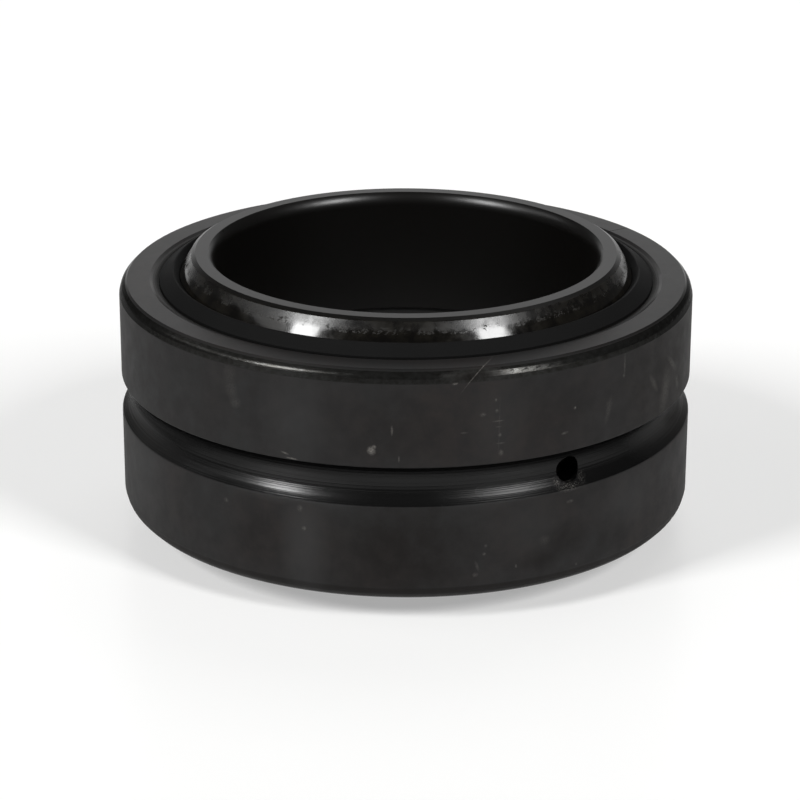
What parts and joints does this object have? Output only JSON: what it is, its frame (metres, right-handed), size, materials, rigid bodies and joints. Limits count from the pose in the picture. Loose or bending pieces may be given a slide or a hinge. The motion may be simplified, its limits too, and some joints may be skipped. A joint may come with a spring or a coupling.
{
  "type": "spherical plain bearing",
  "caption": "Sealed radial spherical plain bearing: an inner ring with a spherical outside swivels in a split outer ring that has a lubrication groove.",
  "frame": {"origin": "centre of the sphere, on the bore axis at the middle of both rings", "axes": "+Z along the shaft bore; the first lubrication hole lies 33.5 degrees from -Y towards +X"},
  "size_m": [0.09, 0.09, 0.044],
  "materials": {
    "outer_ring_steel": "satin",
    "inner_ring_steel": "satin",
    "seal_rubber": "matte"
  },
  "bodies": {
    "outer": {"outer_ring": "outer_ring_steel"},
    "seals": {"upper_seal": "seal_rubber", "lower_seal": "seal_rubber"},
    "inner": {"inner_ring": "inner_ring_steel"}
  },
  "joints": [
    {"name": "turn", "type": "hinge", "parent": "outer", "child": "seals", "pos_m": [0, 0, 0], "axis": [0, 0, 1], "continuous": true},
    {"name": "tilt", "type": "hinge", "parent": "seals", "child": "inner", "pos_m": [0, 0, 0], "axis": [1, 0, 0], "range_deg": [-6, 6]}
  ]
}
